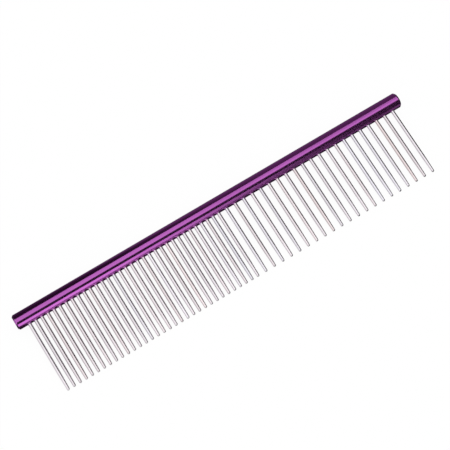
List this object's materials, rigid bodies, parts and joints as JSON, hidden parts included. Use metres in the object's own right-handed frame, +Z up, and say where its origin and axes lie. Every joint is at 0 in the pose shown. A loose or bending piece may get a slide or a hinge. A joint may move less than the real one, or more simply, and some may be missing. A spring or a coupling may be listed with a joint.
{
  "type": "grooming comb",
  "caption": "Straight metal grooming comb: a round anodised aluminium spine with pressed-in steel pin teeth, closely spaced at one end and widely at the other.",
  "frame": {"origin": "centre of the comb's outline on the surface that it lies on", "axes": "+X along the spine towards the widely spaced teeth, teeth pointing towards -Y, +Z up from the surface that the comb lies on; the spine's underside and the tips of the teeth touch Z = 0"},
  "size_m": [0.1906, 0.0388, 0.0069],
  "materials": {
    "anodised_aluminium": "polished, purple anodised",
    "stainless_steel": "polished"
  },
  "bodies": {
    "root": {"spine": "anodised_aluminium", "fine_tooth_01": "stainless_steel", "fine_tooth_02": "stainless_steel", "fine_tooth_03": "stainless_steel", "fine_tooth_04": "stainless_steel", "fine_tooth_05": "stainless_steel", "fine_tooth_06": "stainless_steel", "fine_tooth_07": "stainless_steel", "fine_tooth_08": "stainless_steel", "fine_tooth_09": "stainless_steel", "fine_tooth_10": "stainless_steel", "fine_tooth_11": "stainless_steel", "fine_tooth_12": "stainless_steel", "fine_tooth_13": "stainless_steel", "fine_tooth_14": "stainless_steel", "fine_tooth_15": "stainless_steel", "fine_tooth_16": "stainless_steel", "fine_tooth_17": "stainless_steel", "fine_tooth_18": "stainless_steel", "fine_tooth_19": "stainless_steel", "fine_tooth_20": "stainless_steel", "fine_tooth_21": "stainless_steel", "fine_tooth_22": "stainless_steel", "fine_tooth_23": "stainless_steel", "fine_tooth_24": "stainless_steel", "fine_tooth_25": "stainless_steel", "fine_tooth_26": "stainless_steel", "fine_tooth_27": "stainless_steel", "fine_tooth_28": "stainless_steel", "fine_tooth_29": "stainless_steel", "fine_tooth_30": "stainless_steel", "fine_tooth_31": "stainless_steel", "fine_tooth_32": "stainless_steel", "fine_tooth_33": "stainless_steel", "coarse_tooth_01": "stainless_steel", "coarse_tooth_02": "stainless_steel", "coarse_tooth_03": "stainless_steel", "coarse_tooth_04": "stainless_steel", "coarse_tooth_05": "stainless_steel", "coarse_tooth_06": "stainless_steel", "coarse_tooth_07": "stainless_steel", "coarse_tooth_08": "stainless_steel", "coarse_tooth_09": "stainless_steel", "coarse_tooth_10": "stainless_steel", "coarse_tooth_11": "stainless_steel", "coarse_tooth_12": "stainless_steel", "coarse_tooth_13": "stainless_steel", "coarse_tooth_14": "stainless_steel", "coarse_tooth_15": "stainless_steel", "coarse_tooth_16": "stainless_steel", "coarse_tooth_17": "stainless_steel", "coarse_tooth_18": "stainless_steel", "coarse_tooth_19": "stainless_steel", "coarse_tooth_20": "stainless_steel", "coarse_tooth_21": "stainless_steel"}
  },
  "joints": []
}
